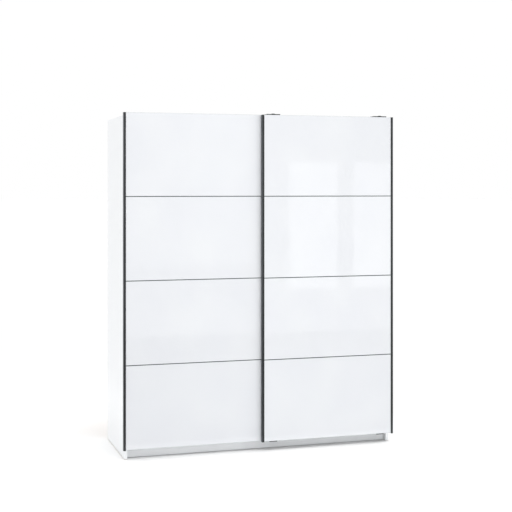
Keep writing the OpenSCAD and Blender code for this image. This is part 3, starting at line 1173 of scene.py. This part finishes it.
SOFT_BOXES = (
    SoftBox((0.3, -1.1, 1.4), (0.3, -1.0, 0.0), (2.2, 0.6), 10.0, floor_only=True),
    SoftBox((-1.2, 1.7, 0.9), (-1.2, 1.72, 0.0), (1.0, 1.0), 4.0, floor_only=True),
    SoftBox((0.8, -5.0, 0.8), (0.3, 0.0, 0.3), (1.6, 1.6), 18.0),
    SoftBox((-0.1, -2.2, 2.5), (-0.1, 0.0, 2.2), (1.5, 1.5), 5.2),
)


@dataclass
class Studio:
    """Camera, floor, light and the cards that show in reflections.

    Each sky is its strength at the horizon and what it gains overhead.
    """

    camera_from_edge: tuple[float, float] = (-1.250, -6.835)
    camera_height: float = 1.680
    heading_deg: float = 17.14
    lens_mm: float = 78.45
    sensor_mm: float = 36.0
    shift_y: float = -0.1305
    clip_end: float = 200.0
    floor_size: float = 400.0
    floor_tone: str = "#FFFFFF"
    floor_roughness: float = 0.9
    front_sky: tuple[float, float] = (0.79, 0.29)
    rear_sky: tuple[float, float] = (1.0, 0.16)
    sky_power: float = 2.0
    sky_blend: float = 0.25
    card_y: float = -6.0
    card_step: float = 0.02
    low_card_middle: tuple[float, float, float] = (2.0, -3.3, 0.003)
    low_card_size: tuple[float, float] = (9.0, 5.2)
    low_card_glow: float = 0.12

    def place_camera(self) -> None:
        """Stands a level camera to the left of the wardrobe, at eye height."""
        edge_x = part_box("left_door_left_handle")[0].x
        edge_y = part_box("left_door_glass_1")[0].y
        clear_selection()
        bpy.ops.object.camera_add(
            location=(
                edge_x + self.camera_from_edge[0],
                edge_y + self.camera_from_edge[1],
                self.camera_height,
            ),
            rotation=(math.radians(90), 0, -math.radians(self.heading_deg)),
        )
        camera = bpy.context.object
        camera.data.lens = self.lens_mm
        camera.data.sensor_width = self.sensor_mm
        camera.data.shift_y = self.shift_y
        camera.data.clip_end = self.clip_end
        bpy.context.scene.camera = camera

    def lay_floor(self) -> bpy.types.Object:
        """Lays a plain pale floor and returns it."""
        clear_selection()
        bpy.ops.mesh.primitive_plane_add(size=self.floor_size, location=(0, 0, 0))
        floor = bpy.context.object
        floor.name = "studio_floor"
        made = bpy.data.materials.new("pale_floor")
        made.use_nodes = True
        shader = made.node_tree.nodes["Principled BSDF"]
        shader.inputs["Base Color"].default_value = srgb(self.floor_tone)
        shader.inputs["Roughness"].default_value = self.floor_roughness
        shader.inputs["Specular IOR Level"].default_value = 0.0
        floor.data.materials.append(made)
        return floor

    def surround(self) -> None:
        """Surrounds it all with white that is brightest overhead and dimmer in front of the doors."""
        world = bpy.context.scene.world or bpy.data.worlds.new("studio")
        bpy.context.scene.world = world
        world.use_nodes = True
        tree = world.node_tree
        place = add_node(tree, "ShaderNodeTexCoord")
        parts = add_node(
            tree, "ShaderNodeSeparateXYZ", {"Vector": place.outputs["Generated"]}
        )
        height = add_node(
            tree,
            "ShaderNodeMath",
            {0: parts.outputs["Z"], 1: self.sky_power},
            operation="POWER",
        )
        front, rear = (
            add_node(
                tree,
                "ShaderNodeMath",
                {0: height.outputs["Value"], 1: rise, 2: base},
                operation="MULTIPLY_ADD",
            )
            for base, rise in (self.front_sky, self.rear_sky)
        )
        behind = add_node(
            tree,
            "ShaderNodeMapRange",
            {
                "Value": parts.outputs["Y"],
                "From Min": -self.sky_blend,
                "From Max": self.sky_blend,
            },
            interpolation_type="SMOOTHSTEP",
        )
        strength = add_node(
            tree,
            "ShaderNodeMix",
            {
                "Factor": behind.outputs["Result"],
                "A": front.outputs["Value"],
                "B": rear.outputs["Value"],
            },
            data_type="FLOAT",
        )
        sky = tree.nodes["Background"]
        sky.inputs["Color"].default_value = (1.0, 1.0, 1.0, 1.0)
        tree.links.new(strength.outputs["Result"], sky.inputs["Strength"])

    def hang_lamp(self, box: SoftBox, floor: bpy.types.Object) -> None:
        """Hangs a soft box that neither the camera nor a reflection sees.

        Args:
            box: lamp to hang.
            floor: studio floor, which is all that a floor_only lamp lights.
        """
        clear_selection()
        bpy.ops.object.light_add(type="AREA", location=box.place)
        lamp = bpy.context.object
        lamp.data.shape = "RECTANGLE"
        lamp.data.size, lamp.data.size_y = box.size
        lamp.data.energy = box.power
        look = Vector(box.aim) - Vector(box.place)
        lamp.rotation_euler = look.to_track_quat("-Z", "Y").to_euler()
        lamp.visible_camera = False
        lamp.visible_glossy = False
        if box.floor_only:
            lit = bpy.data.collections.new("lit_by_" + lamp.name)
            lit.objects.link(floor)
            lamp.light_linking.receiver_collection = lit

    def hang_cards(self) -> None:
        """Hangs the upright cards in front of the doors and lays the low card before them."""
        for i, card in enumerate(GLOSS_CARDS):
            clear_selection()
            width, height = card.x[1] - card.x[0], card.z[1] - card.z[0]
            bpy.ops.mesh.primitive_plane_add(
                size=1,
                location=(
                    sum(card.x) / 2,
                    self.card_y + i * self.card_step,
                    sum(card.z) / 2,
                ),
                rotation=(math.radians(-90), 0, 0),
            )
            plane = bpy.context.object
            plane.scale = (width, height, 1)
            self.light_card(plane, card.name, card.glow)
        clear_selection()
        bpy.ops.mesh.primitive_plane_add(size=1, location=self.low_card_middle)
        plane = bpy.context.object
        plane.scale = (*self.low_card_size, 1)
        self.light_card(plane, "low_card", self.low_card_glow)

    def light_card(self, plane: bpy.types.Object, name: str, glow: float) -> None:
        """Makes a plane glow for reflections alone.

        Args:
            plane: plane to light.
            name: name of the card and its material.
            glow: strength of its glow.
        """
        plane.name = name
        made = bpy.data.materials.new(name)
        made.use_nodes = True
        tree = made.node_tree
        emitter = add_node(tree, "ShaderNodeEmission", {"Strength": glow})
        out = tree.nodes["Material Output"]
        tree.links.new(emitter.outputs["Emission"], out.inputs["Surface"])
        plane.data.materials.append(made)
        plane.visible_camera = False
        plane.visible_diffuse = False
        plane.visible_shadow = False
        plane.visible_transmission = False

    def build(self) -> None:
        """Sets up the studio."""
        self.place_camera()
        floor = self.lay_floor()
        self.surround()
        self.hang_cards()
        for box in SOFT_BOXES:
            self.hang_lamp(box, floor)
        bpy.context.scene.view_settings.view_transform = "Standard"


def main() -> None:
    """Builds the studio, then the wardrobe from its case to its doors."""
    logging.basicConfig(level=logging.INFO, format="%(message)s")
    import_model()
    Studio().build()
    shop = Workshop()
    shop.mix_finishes()
    Carcass(shop).build()
    Interior(shop).build()
    RunningGear(shop).build()
    for name in ("left_door", "right_door"):
        Door(shop, name).build()
    clear_selection()
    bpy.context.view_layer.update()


if __name__ == "__main__":
    main()
